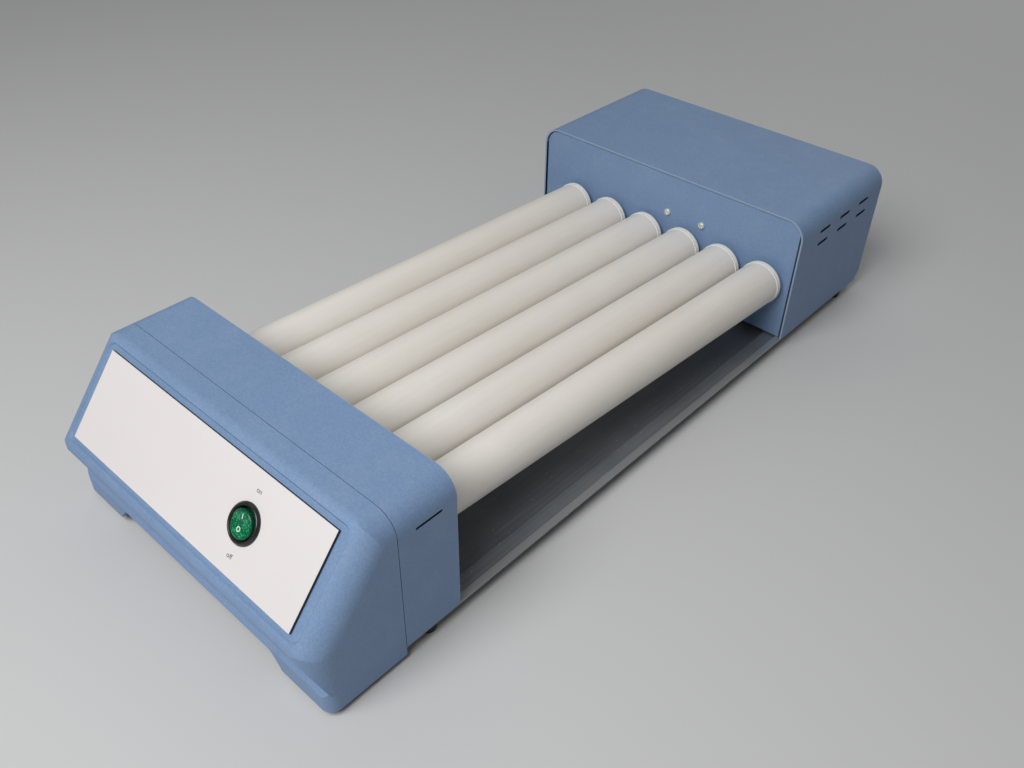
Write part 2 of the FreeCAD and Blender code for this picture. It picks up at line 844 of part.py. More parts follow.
def switch_rocker():
    """Round rocker with a shallow V across its face, tipped to the off side."""
    radius = switch_opening_radius - rocker_gap
    profile = [
        (-radius, -rocker_skirt),
        (-radius, rocker_rise + rocker_pivot, rocker_edge),
        (0, rocker_rise + rocker_pivot - rocker_dip),
        (radius, rocker_rise + rocker_pivot, rocker_edge),
        (radius, -rocker_skirt),
    ]
    body = slab(profile, "yz", -radius, radius)
    body = body.common(rod(radius, V(0, 0, -rocker_skirt), Z_AXIS, height))
    reach = switch_opening_radius + pivot_pin_reach
    body = body.fuse(rod(pivot_pin_radius, V(-reach, 0, 0), X_AXIS, 2 * reach))
    body.rotate(V(0, 0, 0), X_AXIS, rocker_travel / 2)
    body.translate(V(switch_x, -switch_down, -rocker_pivot))
    return on_slope(body)


def switch_terminals():
    blades = []
    half_thick = terminal_thickness / 2
    half_wide = terminal_width / 2
    for place in (-1, 0, 1):
        x = switch_x + place * terminal_spread
        low = (x - half_thick, -switch_down - half_wide, -switch_barrel - terminal_length)
        high = (x + half_thick, -switch_down + half_wide, -switch_barrel)
        blades.append(on_slope(block(low, high)))
    return blades


# Rear panel and mains inlet

def centred(width_across, tall, corner):
    """Rectangle about the inlet's middle."""
    low = inlet_level - tall / 2
    high = inlet_level + tall / 2
    left = inlet_x - width_across / 2
    right = inlet_x + width_across / 2
    return [(left, low, corner), (right, low, corner), (right, high, corner), (left, high, corner)]


def inlet_screw_seats():
    plate_back = back - back_panel_inset
    return [V(inlet_x + side * inlet_screw_spacing / 2, plate_back, inlet_level) for side in (-1, 1)]


def rear_back_panel():
    face = back - back_panel_inset
    bottom = lip_top + panel_lift
    body = slab(panel_section(0, bottom), "xz", face - back_flange, face)
    inside = panel_section(panel_sheet, bottom - overrun)
    body = body.cut(slab(inside, "xz", face - back_flange - overrun, face - panel_sheet))
    hole_width = inlet_body_width + 2 * inlet_hole_gap
    hole_height = inlet_body_height + 2 * inlet_hole_gap
    hole = centred(hole_width, hole_height, inlet_body_corner + inlet_hole_gap)
    body = body.cut(slab(hole, "xz", face - overrun, face + overrun))
    for seat in inlet_screw_seats():
        body = body.cut(rod(screw_radius + fixed_fit, seat - Y_AXIS * overrun, Y_AXIS, 2 * overrun))
    return body


def mains_inlet():
    """Flanged socket body with a keyed mouth, open to the rear."""
    face = back - back_panel_inset
    body = slab(centred(inlet_flange_width, inlet_flange_height, inlet_flange_corner), "xz", face, back)
    inner = centred(inlet_body_width, inlet_body_height, inlet_body_corner)
    body = body.fuse(slab(inner, "xz", face - inlet_body_depth, face))
    low = inlet_level - inlet_mouth_height / 2
    high = inlet_level + inlet_mouth_height / 2
    left = inlet_x - inlet_mouth_width / 2
    right = inlet_x + inlet_mouth_width / 2
    mouth = [
        (left, low),
        (right, low),
        (right, high - inlet_mouth_cut),
        (right - inlet_mouth_cut, high),
        (left + inlet_mouth_cut, high),
        (left, high - inlet_mouth_cut),
    ]
    body = body.cut(slab(mouth, "xz", back - inlet_mouth_depth, back + overrun))
    for seat in inlet_screw_seats():
        body = body.cut(rod(screw_radius + fixed_fit, seat - Y_AXIS * overrun, Y_AXIS, 2 * overrun))
        body = body.cut(inlet_screw_head(seat, fixed_fit))
    return body


def inlet_screw_head(seat, gap):
    """Countersunk head, flush with the flange."""
    wide = screw_head_radius + gap
    slim = screw_radius + gap
    return Part.makeCone(slim, wide, back_panel_inset, seat, Y_AXIS)


def inlet_screws():
    screws = []
    for seat in inlet_screw_seats():
        shank = rod(screw_radius, seat - Y_AXIS * inlet_screw_reach, Y_AXIS, inlet_screw_reach)
        screws.append(shank.fuse(inlet_screw_head(seat, 0)))
    return screws


def inlet_pins():
    start = back - inlet_mouth_depth
    pins = []
    for place, rise in ((-pin_spread, -pin_drop), (0, pin_drop), (pin_spread, -pin_drop)):
        x = inlet_x + place
        z = inlet_level + rise
        low = (x - pin_width / 2, start, z - pin_height / 2)
        high = (x + pin_width / 2, start + pin_length, z + pin_height / 2)
        pins.append(block(low, high))
    return pins


# Feet and fastenings under the tray

def rubber_feet():
    feet = []
    for seat in screw_places()["foot"]:
        bottom = V(seat.x, seat.y, 0)
        foot = Part.makeCone(foot_radius - foot_taper, foot_radius, foot_height, bottom, Z_AXIS)
        foot = foot.cut(rod(foot_recess_radius, bottom, Z_AXIS, foot_recess))
        feet.append(foot.cut(rod(screw_radius + fixed_fit, bottom, Z_AXIS, foot_height)))
    return feet


def foot_screws():
    reach = foot_height - foot_recess + tray_sheet + screw_nut_end
    return [screw(V(seat.x, seat.y, foot_recess), Z_AXIS, reach) for seat in screw_places()["foot"]]


def cover_blocks():
    """Blocks on the tray's edge that the covers are screwed against."""
    blocks = []
    outer = half_width - cover_sheet - seat_gap
    for seat in screw_places()["block"]:
        side = 1 if seat.x > 0 else -1
        inner = tray_wall + block_inner
        section = [
            (side * inner, shelf_top),
            (side * inner, block_top),
            (side * outer, block_top),
            (side * outer, lip_top),
            (side * lip_start - side * seat_gap, lip_top),
            (side * lip_start - side * seat_gap, shelf_top),
        ]
        body = slab(section, "xz", seat.y - block_length / 2, seat.y + block_length / 2)
        hole_end = seat.z + block_screw_reach + screw_end_gap
        hole = rod(screw_radius + fixed_fit, V(seat.x, seat.y, 0), Z_AXIS, hole_end)
        blocks.append(body.cut(hole))
    return blocks


def cover_screws():
    return [screw(seat, Z_AXIS, block_screw_reach) for seat in screw_places()["block"]]


def bezel_screws():
    return [screw(seat, Z_AXIS, bezel_screw_reach) for seat in screw_places()["bezel"]]


# Every piece in its own file

rollers, idlers, pinion = gear_train()
motor_shaft, motor_gearbox, motor_body, motor_standoffs, motor_screws = motor_pieces()

save("base_pan", base_pan())
save("front_bezel", front_bezel())
save("label_panel", label_panel())
save("front_cover", front_cover())
save("rear_cover", rear_cover())
save("front_end_panel", end_panel(front_panel_face, -1))
save("rear_end_panel", rear_end_panel())
save("rear_back_panel", rear_back_panel())
save_group("front_bushes", bushes(front_panel_face, -1))
save_group("rear_bushes", bushes(rear_panel_face, 1))

for number, x in enumerate(roller_xs, start=1):
    name = "roller_%d_" % number
    save(name + "tube", roller_tube(x))
    save(name + "front_cap", front_cap(x))
    save(name + "rear_cap", rear_cap(x))
    centre, turn = rollers[number - 1]
    save(name + "gear", gear(roller_teeth, centre, turn, axle_radius + fixed_fit))

for number, (centre, turn) in enumerate(idlers, start=1):
    bore = idler_pin_radius + running_fit
    save("idler_gear_%d" % number, gear(idler_teeth, centre, turn, bore))
save_group("idler_pins", [idler_pin(centre) for centre, turn in idlers])
save_group("idler_clips", [idler_clip(centre) for centre, turn in idlers])

save("motor_pinion", gear(pinion_teeth, pinion[0], pinion[1], shaft_radius + fixed_fit))
save("motor_shaft", motor_shaft)
save("motor_gearbox", motor_gearbox)
save("motor_body", motor_body)
save_group("motor_standoffs", motor_standoffs)
save_group("motor_screws", motor_screws)

save("switch_body", switch_body())
save("switch_rocker", switch_rocker())
save_group("switch_terminals", switch_terminals())
save("mains_inlet", mains_inlet())
save_group("inlet_pins", inlet_pins())
save_group("inlet_screws", inlet_screws())

save_group("rubber_feet", rubber_feet())
save_group("foot_screws", foot_screws())
save_group("cover_blocks", cover_blocks())
save_group("cover_screws", cover_screws())
save_group("bezel_screws", bezel_screws())
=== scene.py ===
import json
import math

import bmesh
import bpy
from mathutils import Matrix, Vector


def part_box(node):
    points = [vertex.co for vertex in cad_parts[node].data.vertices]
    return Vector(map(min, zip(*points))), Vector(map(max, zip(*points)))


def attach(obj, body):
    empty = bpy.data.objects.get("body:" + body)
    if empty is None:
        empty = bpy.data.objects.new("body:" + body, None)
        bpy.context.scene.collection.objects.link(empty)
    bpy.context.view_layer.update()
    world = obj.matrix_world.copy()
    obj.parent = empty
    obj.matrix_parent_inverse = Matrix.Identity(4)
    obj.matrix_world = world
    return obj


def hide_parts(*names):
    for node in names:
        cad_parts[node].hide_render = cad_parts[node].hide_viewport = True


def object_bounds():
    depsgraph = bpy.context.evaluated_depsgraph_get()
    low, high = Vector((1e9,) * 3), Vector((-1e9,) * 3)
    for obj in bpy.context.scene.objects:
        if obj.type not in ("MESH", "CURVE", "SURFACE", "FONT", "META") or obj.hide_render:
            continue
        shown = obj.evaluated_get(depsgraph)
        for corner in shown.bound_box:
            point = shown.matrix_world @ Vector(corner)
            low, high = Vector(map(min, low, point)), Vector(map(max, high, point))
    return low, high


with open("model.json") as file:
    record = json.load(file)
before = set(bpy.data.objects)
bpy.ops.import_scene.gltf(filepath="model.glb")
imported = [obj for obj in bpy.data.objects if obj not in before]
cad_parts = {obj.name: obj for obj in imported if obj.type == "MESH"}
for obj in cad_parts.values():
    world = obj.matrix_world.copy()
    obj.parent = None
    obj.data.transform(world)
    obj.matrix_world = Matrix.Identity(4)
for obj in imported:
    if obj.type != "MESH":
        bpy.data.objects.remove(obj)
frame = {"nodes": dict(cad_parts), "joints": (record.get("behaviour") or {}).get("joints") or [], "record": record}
nodes = frame["nodes"]
joints = {joint["name"]: joint for joint in frame["joints"]}
cad_low, cad_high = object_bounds()

MM = 0.001
ALONG_X = Vector((1, 0, 0))
ALONG_Y = Vector((0, 1, 0))
ALONG_Z = Vector((0, 0, 1))
TINY = 1e-7
ROUND_STEPS = 72             # segments of a turned piece
ARC_STEPS = 5                # segments of a rounded corner in a profile
SHARP_ANGLE = math.radians(32)

# Camera at the photograph's angle
CAMERA_PLACE = Vector((367.78, -416.18, 439.52)) * MM
CAMERA_TURN = 42.15          # degrees from +Y towards -X
CAMERA_DOWN = 38.76
CAMERA_ROLL = 0.92
FOCAL_PIXELS = 964.1
IMAGE_WIDTH = 1024
SENSOR_WIDTH = 36.0
NEAREST, FARTHEST = 0.01, 50

# Lamps: place, diameter and power
LAMPS = {
    "key": ((0.12, -0.90, 1.10), 0.9, 16.0),
    "fill": ((-1.6, 1.2, 2.2), 2.4, 5.0),
    "back": ((-0.2, 2.0, 0.7), 1.6, 4.0),
}
LAMP_AIM = Vector((0, 0, 0.05))
STUDIO_COLOUR = (0.88, 0.89, 0.90)
STUDIO_STRENGTH = 0.21

FLOOR_REACH = 6.0
FLOOR_COLOUR = (0.55, 0.55, 0.55)
FLOOR_ROUGHNESS = 0.65

# Slope that carries the label and the switch
SLOPE_ANGLE = math.radians(50.4)
UP_SLOPE = Vector((0, math.cos(SLOPE_ANGLE), math.sin(SLOPE_ANGLE)))
OUT_OF_SLOPE = Vector((0, -math.sin(SLOPE_ANGLE), math.cos(SLOPE_ANGLE)))

# Sheet metal, and where painted shade lies on its paint
COVER_SHEET = 1.2 * MM
WALL_REACH = 1.25 * COVER_SHEET      # depth of the slots' sides, with a margin
COVER_CORNER = 14.0 * MM             # height of the bend at the top
PANEL_SHADE_WIDTH = 1.5 * MM                 # width of the painted shade along the rear end panel's edge

# Paint on the sheet metal and on the moulding
PAINT_ROUGHNESS = 0.55
PAINT_GRAIN = 950.0
PAINT_BLUE = (0.175, 0.272, 0.440)
PAINT_DUST = (0.42, 0.46, 0.52)
PAINT_SCUFF = (0.40, 0.47, 0.58)
BARE_EDGE = (0.27, 0.36, 0.50)
# near-black painted shade, for the slots, the inside of the walls and the rear end panel's edge
PAINTED_SHADE_NEAR_BLACK = (0.010, 0.016, 0.028)

TRAY_ROUGHNESS = 0.38
TRAY_METALLIC = 0.60
TRAY_DARK = (0.236, 0.258, 0.284)
TRAY_LIGHT = (0.302, 0.325, 0.350)
TRAY_SCRATCH = (0.66, 0.66, 0.65)
TRAY_SPECK = (0.70, 0.70, 0.68)
# painted highlight on the face of the tray's lip
TRAY_LIP_HIGHLIGHT = (0.47, 0.47, 0.46)

SLEEVE_ROUGHNESS = 0.42
SLEEVE_YELLOWED = (0.765, 0.722, 0.655)
SLEEVE_CLEAN = (0.800, 0.765, 0.715)
SLEEVE_STREAK = (0.965, 0.96, 0.95)
SLEEVE_MARK = (0.58, 0.53, 0.46)

PLATE_ROUGHNESS = 0.45
PLATE_DARK = (0.700, 0.664, 0.652)
PLATE_LIGHT = (0.725, 0.690, 0.680)
# near-black painted shade on the label plate's sides
PLATE_SIDE_SHADE = (0.012, 0.014, 0.020)

LENS_ROUGHNESS = 0.20
LENS_SPECULAR = 0.35
LENS_GLINT = (0.10, 0.72, 0.36)
LENS_GREEN = (0.004, 0.315, 0.125)
LENS_DEEP = (0.002, 0.120, 0.050)
# painted shade at the rocker's rim
LENS_RIM_SHADE = (0.001, 0.045, 0.020)

# Plain finishes: colour, roughness, scale and height of the grain, drift of the tone, metallic
SPECKLED = {
    "cap_white": ((0.80, 0.785, 0.755), 0.40, 1500.0, 0.010 * MM, 0.02, 0.0),
    "bush_plastic": ((0.72, 0.72, 0.70), 0.40, 1500.0, 0.010 * MM, 0.02, 0.0),
    "gear_nylon": ((0.78, 0.76, 0.68), 0.40, 1500.0, 0.010 * MM, 0.03, 0.0),
    "zinc_case": ((0.52, 0.53, 0.54), 0.50, 1200.0, 0.030 * MM, 0.05, 0.9),
    "switch_black": ((0.016, 0.016, 0.017), 0.22, 1400.0, 0.005 * MM, 0.20, 0.0),
    "inlet_black": ((0.02, 0.02, 0.021), 0.45, 1400.0, 0.030 * MM, 0.20, 0.0),
    "foot_rubber": ((0.018, 0.018, 0.018), 0.75, 1100.0, 0.050 * MM, 0.20, 0.0),
    "block_nylon": ((0.62, 0.62, 0.60), 0.45, 1400.0, 0.020 * MM, 0.03, 0.0),
    "label_print": ((0.05, 0.052, 0.06), 0.50, 2400.0, 0.002 * MM, 0.10, 0.0),
    "rocker_mark": ((0.72, 0.80, 0.74), 0.30, 2400.0, 0.002 * MM, 0.05, 0.0),
}

# Metals with fine lines: colour, roughness, scale of the lines by axis, metallic
BRUSHED = {
    "plain_steel": ((0.55, 0.55, 0.56), 0.32, (700, 60, 700), 1.0),
    "motor_can": ((0.50, 0.50, 0.51), 0.35, (700, 60, 700), 1.0),
    "plated_screw": ((0.88, 0.88, 0.85), 0.34, (900, 900, 900), 0.55),
    "terminal_brass": ((0.75, 0.60, 0.32), 0.30, (300, 900, 300), 1.0),
}

# Profiles are (radius, height), with the radius of the arc where the corner is rounded

# Rollers and their caps, whose profile runs from the outer face into the tube
ROLLER_END_GAP = 3.0 * MM
ROLLER_THROW = 8.0 * MM
CAP_ARC_STEPS = 4
CAP_THICKNESS = 4.5 * MM
CAP_PROFILE = [
    (0, 0),
    (13.3 * MM, 0, 0.3 * MM),                # groove in the face
    (13.7 * MM, 0.35 * MM, 0.3 * MM),
    (14.9 * MM, 0.35 * MM, 0.3 * MM),
    (15.2 * MM, 0, 0.3 * MM),
    (16.3 * MM, 0, 0.7 * MM),                # soft rim
    (16.3 * MM, 2.1 * MM, 0.2 * MM),
    (15.6 * MM, 2.3 * MM),                   # neck
    (15.6 * MM, 3.1 * MM),
    (16.5 * MM, 3.3 * MM, 0.2 * MM),         # lip at the tube
    (16.5 * MM, CAP_THICKNESS, 0.25 * MM),
    (13.9 * MM, CAP_THICKNESS),              # spigot in the tube
    (13.9 * MM, 16.5 * MM, 0.5 * MM),
    (0, 16.5 * MM),
]
BOSS_RADIUS = 6.5 * MM
BOSS_EDGE = 0.4 * MM
BUSH_FLANGE = 1.3 * MM       # flange and the gap in front of it
AXLE_RADIUS = 4.0 * MM
AXLE_EDGE = 0.5 * MM
AXLE_GRIP = 8.0 * MM         # axle's length inside the cap

# Switch ring, in heights above the label
SWITCH_RING_PROFILE = [
    (0, -6.5 * MM),                          # floor of the pocket
    (8.75 * MM, -6.5 * MM),
    (8.75 * MM, 0.9 * MM, 0.3 * MM),
    (9.5 * MM, 2.0 * MM, 0.5 * MM),          # rounded lip
    (10.3 * MM, 2.0 * MM, 0.9 * MM),
    (11.5 * MM, 0.7 * MM, 0.5 * MM),
    (11.5 * MM, 0.02 * MM),                  # flange on the label
    (10.0 * MM, 0.02 * MM),
    (10.0 * MM, -16.0 * MM, 0.5 * MM),       # barrel
    (0, -16.0 * MM),
]

# Rocker, in heights above its pivot
PIVOT_DEPTH = 1.5 * MM       # pivot below the label's face
ROCKER_TIP = math.radians(6)
ROCKER_RADIUS = 8.2 * MM
ROCKER_RINGS = 20
ROCKER_VALLEY = 3.9 * MM     # height of the face at its middle
ROCKER_DIP = 1.0 * MM        # rise from the valley to the rim
ROCKER_BEND = 1.1 * MM       # softness of the valley
ROCKER_RIM = 1.8 * MM        # width of the rounded rim
ROCKER_RIM_DROP = 1.3 * MM
SKIRT_BOTTOM = -3.6 * MM
SKIRT_EDGE = 0.4 * MM
PIN_RADIUS = 1.0 * MM
PIN_REACH = 9.2 * MM

# Inlaid marks of the rocker: places up its face, and half sizes across and along
MARK_STEPS = 32
MARK_LIFT = 0.05 * MM
MARK_THICKNESS = 0.08 * MM
OFF_PLACE = -2.7 * MM
OFF_OUTER = (1.35 * MM, 1.45 * MM)
OFF_INNER = (0.80 * MM, 0.90 * MM)
ON_PLACE = 4.6 * MM
ON_BAR = (0.3 * MM, 1.4 * MM)

# Printed words, in distances down the slope from the label's top edge
SWITCH_DOWN = 28.4 * MM
WORDS_DOWN = {"on": 9.8 * MM, "off": 46.9 * MM}
WORD_SIZE = 3.9 * MM
WORD_THICKNESS = 0.02 * MM
WORD_LIFT = 0.03 * MM

# Screws: the crosses are (depth, reach, width)
HEAD_RADIUS = 2.8 * MM
HEAD_HEIGHT = 2.0 * MM
SHANK_RADIUS = 1.5 * MM
SHANK_POINT = 0.5 * MM
POINT_RADIUS = 0.9 * MM
FIRST_TURN = 1.3             # turn of the first cross, in radians
NEXT_TURN = 0.9
PAN_CROSS = (1.1 * MM, 3.4 * MM, 1.0 * MM)
PAN_PROFILE = [
    (0, 0),
    (1.54 * MM, -0.06 * MM),
    (2.296 * MM, -0.32 * MM, 0.4 * MM),
    (HEAD_RADIUS, -1.0 * MM, 0.5 * MM),
    (HEAD_RADIUS, -HEAD_HEIGHT),
    (0, -HEAD_HEIGHT),
]
FLAT_CROSS = (1.0 * MM, 3.0 * MM, 0.75 * MM)
FLAT_PROFILE = [
    (0, 0),
    (HEAD_RADIUS, 0, 0.1 * MM),
    (SHANK_RADIUS, -HEAD_HEIGHT),
    (0, -HEAD_HEIGHT),
]


def opaque(colour):
    return tuple(colour) + (1.0,)


def grey(level):
    return (level, level, level)


def scaled(colour, factor):
    return tuple(min(1.0, part * factor) for part in colour)


def add_object(name, data):
    thing = bpy.data.objects.new(name, data)
    bpy.context.scene.collection.objects.link(thing)
    return thing


def evaluated_mesh(thing):
    """Mesh of an object as its modifiers or its text leave it."""
    bpy.context.view_layer.update()
    depsgraph = bpy.context.evaluated_depsgraph_get()
    return bpy.data.meshes.new_from_object(thing.evaluated_get(depsgraph))


# Camera, light and floor

def set_camera():
    """Camera with the photograph's place, direction and lens."""
    turn = math.radians(CAMERA_TURN)
    down = math.radians(CAMERA_DOWN)
    roll = math.radians(CAMERA_ROLL)
    level = math.cos(down)
    ahead = Vector((-math.sin(turn) * level, math.cos(turn) * level, -math.sin(down)))
    level_right = ahead.cross(ALONG_Z).normalized()
    level_up = level_right.cross(ahead)
    right = level_right * math.cos(roll) + level_up * math.sin(roll)
    up = right.cross(ahead)
    data = bpy.data.cameras.new("camera")
    data.sensor_width = SENSOR_WIDTH
    data.lens = FOCAL_PIXELS / IMAGE_WIDTH * SENSOR_WIDTH
    data.clip_start = NEAREST
    data.clip_end = FARTHEST
    camera = add_object("camera", data)
    axes = Matrix((right, up, -ahead)).transposed().to_4x4()
    camera.matrix_world = Matrix.Translation(CAMERA_PLACE) @ axes
    bpy.context.scene.camera = camera


def set_light():
    """Soft lamps above and a dim studio all round."""
    for name, (place, size, power) in LAMPS.items():
        data = bpy.data.lights.new(name, "AREA")
        data.shape = "DISK"
        data.size = size
        data.energy = power
        lamp = add_object(name, data)
        lamp.location = place
        lamp.rotation_euler = (LAMP_AIM - Vector(place)).to_track_quat("-Z", "Y").to_euler()
    world = bpy.data.worlds.new("studio")
    world.use_nodes = True
    background = world.node_tree.nodes["Background"]
    background.inputs["Color"].default_value = opaque(STUDIO_COLOUR)
    background.inputs["Strength"].default_value = STUDIO_STRENGTH
    bpy.context.scene.world = world


def set_floor():
    """Plain pale floor under the machine."""
    mesh = bpy.data.meshes.new("floor")
    reach = FLOOR_REACH
    corners = [(-reach, -reach, 0), (reach, -reach, 0), (reach, reach, 0), (-reach, reach, 0)]
    mesh.from_pydata(corners, [], [(0, 1, 2, 3)])
    floor = add_object("floor", mesh)
    material = bpy.data.materials.new("pale_floor")
    material.use_nodes = True
    shader = material.node_tree.nodes["Principled BSDF"]
    shader.inputs["Base Color"].default_value = opaque(FLOOR_COLOUR)
    shader.inputs["Roughness"].default_value = FLOOR_ROUGHNESS
    mesh.materials.append(material)


# Materials

class Surface:
    """A procedural material built round one Principled shader."""

    def __init__(self, name, roughness, metallic=0.0):
        self.material = bpy.data.materials.new(name)
        self.material.use_nodes = True
        self.tree = self.material.node_tree
        self.shader = self.tree.nodes["Principled BSDF"]
        self.shader.inputs["Roughness"].default_value = roughness
        self.shader.inputs["Metallic"].default_value = metallic
        self.place = self.tree.nodes.new("ShaderNodeTexCoord").outputs["Object"]

    def feed(self, value, socket):
        """Link an output to a socket, or set the socket to a plain value."""
        if isinstance(value, bpy.types.NodeSocket):
            self.tree.links.new(value, socket)
        else:
            socket.default_value = value

    def node(self, kind, **inputs):
        """New node. An input's name has _ where the socket's has a space."""
        made = self.tree.nodes.new(kind)
        for name, value in inputs.items():
            self.feed(value, made.inputs[name.replace("_", " ")])
        return made

    def noise(self, scale=1.0, detail=3.0, roughness=0.5, stretch=None):
        """Noise over the object, with its coordinates scaled by axis where stretch is given."""
        place = self.place
        if stretch is not None:
            place = self.node("ShaderNodeMapping", Vector=place, Scale=stretch).outputs["Vector"]
        made = self.node("ShaderNodeTexNoise", Vector=place, Scale=scale, Detail=detail,
                         Roughness=roughness)
        return made.outputs["Fac"]

    def cells(self, scale):
        """Distance to the middle of the nearest of many scattered cells."""
        made = self.node("ShaderNodeTexVoronoi", Vector=self.place, Scale=scale)
        return made.outputs["Distance"]

    def ramp(self, factor, *stops):
        """Colour ramp through stops of (position, colour)."""
        made = self.node("ShaderNodeValToRGB", Fac=factor)
        elements = made.color_ramp.elements
        while len(elements) < len(stops):
            elements.new(0.5)
        for element, (position, colour) in zip(elements, stops):
            element.position = position
            element.color = opaque(colour)
        return made.outputs["Color"]

    def remap(self, factor, to, over=(0.0, 1.0)):
        """Turn a range that a factor runs over into another, and hold its ends."""
        made = self.node("ShaderNodeMapRange", Value=factor, From_Min=over[0], From_Max=over[1],
                         To_Min=to[0], To_Max=to[1])
        return made.outputs["Result"]

    def combine(self, first, second, operation="ADD"):
        made = self.tree.nodes.new("ShaderNodeMath")
        made.operation = operation
        self.feed(first, made.inputs[0])
        self.feed(second, made.inputs[1])
        return made.outputs["Value"]

    def along(self, direction):
        """Distance along a direction, from the origin."""
        made = self.tree.nodes.new("ShaderNodeVectorMath")
        made.operation = "DOT_PRODUCT"
        self.feed(self.place, made.inputs[0])
        made.inputs[1].default_value = direction
        return made.outputs["Value"]

    def mix(self, factor, first, second, blend="MIX"):
        """Mix of two colours, each an output or a plain colour."""
        made = self.tree.nodes.new("ShaderNodeMix")
        made.data_type = "RGBA"
        made.blend_type = blend
        for socket, value in (("Factor", factor), ("A", first), ("B", second)):
            target = [entry for entry in made.inputs if entry.name == socket and entry.enabled][0]
            self.feed(opaque(value) if isinstance(value, tuple) else value, target)
        return [entry for entry in made.outputs if entry.enabled][0]

    def to(self, socket, value):
        self.tree.links.new(value, self.shader.inputs[socket])

    def bump(self, height, strength, distance, under=None):
        """Bump on the shader, over an earlier bump where that is given."""
        made = self.node("ShaderNodeBump", Height=height, Strength=strength, Distance=distance)
        if under is not None:
            self.tree.links.new(under, made.inputs["Normal"])
        self.to("Normal", made.outputs["Normal"])
        return made.outputs["Normal"]


def speckled(name, colour, roughness, grain, height, drift_share, metallic):
    """Moulded or cast surface: slow drift of tone, fine grain in colour, gloss and height."""
    surface = Surface(name, roughness, metallic)
    drift = surface.noise(9.0, detail=4.0)
    fine = surface.noise(grain, detail=2.0, roughness=0.6)
    tone = surface.ramp(drift, (0.3, scaled(colour, 1 - drift_share)),
                        (0.7, scaled(colour, 1 + drift_share)))
    light = surface.ramp(fine, (0.35, grey(0.88)), (0.65, grey(1.0)))
    surface.to("Base Color", surface.mix(1.0, tone, light, "MULTIPLY"))
    surface.to("Roughness", surface.remap(fine, (roughness - 0.06, roughness + 0.06)))
    surface.bump(fine, strength=0.5, distance=height)
    return surface.material


def brushed(name, colour, roughness, stretch, metallic):
    """Rolled or turned metal with fine lines along one direction."""
    surface = Surface(name, roughness, metallic)
    lines = surface.noise(detail=4.0, roughness=0.65, stretch=stretch)
    blotch = surface.noise(14.0, detail=4.0)
    tone = surface.ramp(lines, (0.3, scaled(colour, 0.82)), (0.7, scaled(colour, 1.08)))
    stain = surface.ramp(blotch, (0.35, (0.82, 0.81, 0.79)), (0.7, grey(1.0)))
    surface.to("Base Color", surface.mix(1.0, tone, stain, "MULTIPLY"))
    surface.to("Roughness", surface.remap(lines, (roughness - 0.08, roughness + 0.1)))
    surface.bump(lines, strength=0.15, distance=0.04 * MM)
    return surface.material


def textured_paint(name, edge_levels=(), gap_at=None, side_at=None):
    """Powder coat: pebbled grain, a little dust and small scuffs.

    The paint is thin on cut edges that lie at edge_levels along Y. Painted shade darkens it from gap_at
    outwards on X, where the sheet runs into the gap beside its cover, and in the slots and on the
    inside of upright walls whose outer faces lie at side_at on X.
    """
    surface = Surface(name, PAINT_ROUGHNESS)
    drift = surface.noise(7.0, detail=5.0, roughness=0.55)
    pebble = surface.noise(PAINT_GRAIN, detail=2.0, roughness=0.55)
    dust = surface.noise(60.0, detail=6.0, roughness=0.7)
    scuffs = surface.noise(detail=3.0, roughness=0.75, stretch=(60, 25, 240))
    tone = surface.ramp(drift, (0.3, scaled(PAINT_BLUE, 0.955)), (0.7, scaled(PAINT_BLUE, 1.045)))
    grain = surface.ramp(pebble, (0.34, (0.87, 0.88, 0.90)), (0.66, (1.05, 1.05, 1.04)))
    tone = surface.mix(1.0, tone, grain, "MULTIPLY")
    tone = surface.mix(surface.remap(dust, (0.0, 0.10), over=(0.45, 0.75)), tone, PAINT_DUST)
    tone = surface.mix(surface.remap(scuffs, (0.0, 0.22), over=(0.70, 0.78)), tone, PAINT_SCUFF)
    # painted shade: near-black on the slots' sides and the inside of upright walls below the bend
    if side_at is not None:
        side = surface.combine(surface.along(ALONG_X), 0.0, "ABSOLUTE")
        behind = surface.remap(side, (1.0, 0.0), over=(side_at - 0.3 * MM, side_at - 0.15 * MM))
        in_wall = surface.combine(side, side_at - WALL_REACH, "GREATER_THAN")
        bend_start = cad_high[2] - COVER_CORNER
        upright = surface.combine(surface.along(ALONG_Z), bend_start, "LESS_THAN")
        dark = surface.combine(behind, in_wall, "MULTIPLY")
        dark = surface.combine(dark, upright, "MULTIPLY")
        tone = surface.mix(dark, tone, PAINTED_SHADE_NEAR_BLACK)
    for level in edge_levels:
        away = surface.combine(surface.along(ALONG_Y), -level)
        away = surface.combine(away, 0.0, "ABSOLUTE")
        worn = surface.remap(away, (0.9, 0.0), over=(0.1 * MM, 0.5 * MM))
        tone = surface.mix(worn, tone, BARE_EDGE)
    # painted shade along the rear end panel's edge, beside its cover
    if gap_at is not None:
        across = surface.along(ALONG_X)
        inside = surface.remap(across, (0.0, 0.92), over=(gap_at, gap_at + 0.3 * MM))
        tone = surface.mix(inside, tone, PAINTED_SHADE_NEAR_BLACK)
    surface.to("Base Color", tone)
    surface.to("Roughness", surface.remap(pebble, (0.47, 0.63)))
    rough = surface.bump(pebble, strength=0.55, distance=0.10 * MM)
    surface.bump(drift, strength=0.2, distance=0.4 * MM, under=rough)
    return surface.material


